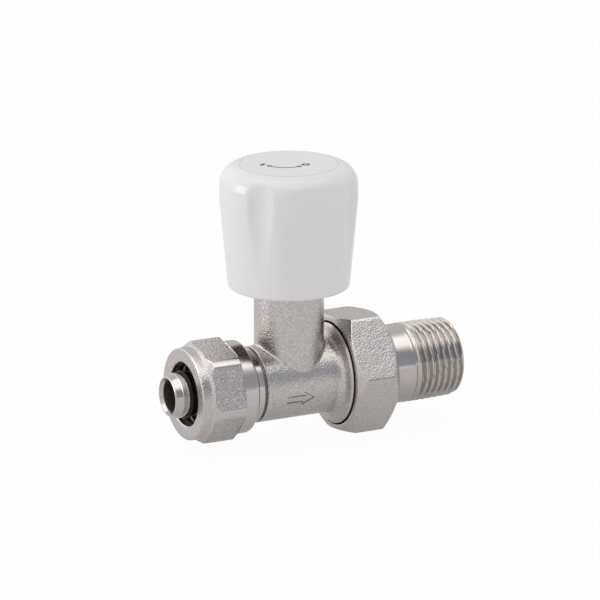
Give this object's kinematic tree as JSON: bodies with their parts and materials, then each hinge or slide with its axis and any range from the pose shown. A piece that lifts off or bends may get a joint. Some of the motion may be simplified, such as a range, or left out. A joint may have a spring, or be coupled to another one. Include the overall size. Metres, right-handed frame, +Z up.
{
  "type": "straight radiator valve",
  "caption": "Straight manual radiator valve: compression inlet for multilayer pipe, neck with a fluted white handwheel, and a union nut on a threaded tailpiece.",
  "frame": {"origin": "centre of the tailpiece's outer end face, on the pipe axis", "axes": "+X along the pipe axis, out of the radiator end; +Z up along the stem axis, towards the handwheel; +Y completes a right-handed frame"},
  "size_m": [0.0814, 0.0358, 0.0733],
  "materials": {
    "nickel_forged": "nickel plated, matt where forged",
    "nickel_turned": "nickel plated, bright where turned",
    "bare_brass": "turned, unplated",
    "white_plastic": "smooth white moulding",
    "cap_plastic": "satin",
    "seal_rubber": "black",
    "screw_steel": "zinc plated",
    "washer_plastic": "low-friction washer"
  },
  "bodies": {
    "valve": {"valve_body": "nickel_forged", "pipe_insert": "nickel_turned", "insert_oring_front": "seal_rubber", "insert_oring_rear": "seal_rubber", "insert_seat_oring": "seal_rubber", "insulating_ring": "seal_rubber", "bonnet": "bare_brass", "bonnet_oring": "seal_rubber", "retaining_ring": "screw_steel"},
    "handwheel": {"handwheel": "white_plastic", "handwheel_screw": "screw_steel", "cap_disc": "cap_plastic", "spindle": "bare_brass", "spindle_oring_lower": "seal_rubber", "spindle_oring_upper": "seal_rubber", "thrust_washer": "washer_plastic"},
    "plug": {"plug": "bare_brass", "plug_seal": "seal_rubber", "plug_screw": "screw_steel"},
    "split_ring": {"split_ring": "nickel_turned"},
    "compression_nut": {"compression_nut": "nickel_forged"},
    "tail": {"tailpiece": "nickel_turned", "tailpiece_oring": "seal_rubber"},
    "union_nut": {"union_nut": "nickel_forged"}
  },
  "joints": [
    {"name": "handwheel_turn", "type": "hinge", "parent": "valve", "child": "handwheel", "pos_m": [-0.0464, 0, 0.03], "axis": [0, 0, 1], "range_deg": [0, 1260]},
    {"name": "plug_lift", "type": "slide", "parent": "valve", "child": "plug", "axis": [0, 0, 1], "range_m": [0, 0.00351]},
    {"name": "compression_nut_turn", "type": "hinge", "parent": "split_ring", "child": "compression_nut", "pos_m": [-0.0684, 0, 0], "axis": [-1, 0, 0], "range_deg": [0, 1530]},
    {"name": "split_ring_slide", "type": "slide", "parent": "valve", "child": "split_ring", "axis": [-1, 0, 0], "range_m": [0, 0.00772]},
    {"name": "union_nut_turn", "type": "hinge", "parent": "tail", "child": "union_nut", "pos_m": [-0.0284, 0, 0], "axis": [1, 0, 0], "range_deg": [0, 1530]},
    {"name": "tail_slide", "type": "slide", "parent": "valve", "child": "tail", "axis": [1, 0, 0], "range_m": [0, 0.00772]}
  ],
  "couplings": [
    {"joint": "plug_lift", "follows": "handwheel_turn", "m_per_rad": 0.00015915},
    {"joint": "split_ring_slide", "follows": "compression_nut_turn", "m_per_rad": 0.00028871},
    {"joint": "tail_slide", "follows": "union_nut_turn", "m_per_rad": 0.00028871}
  ]
}
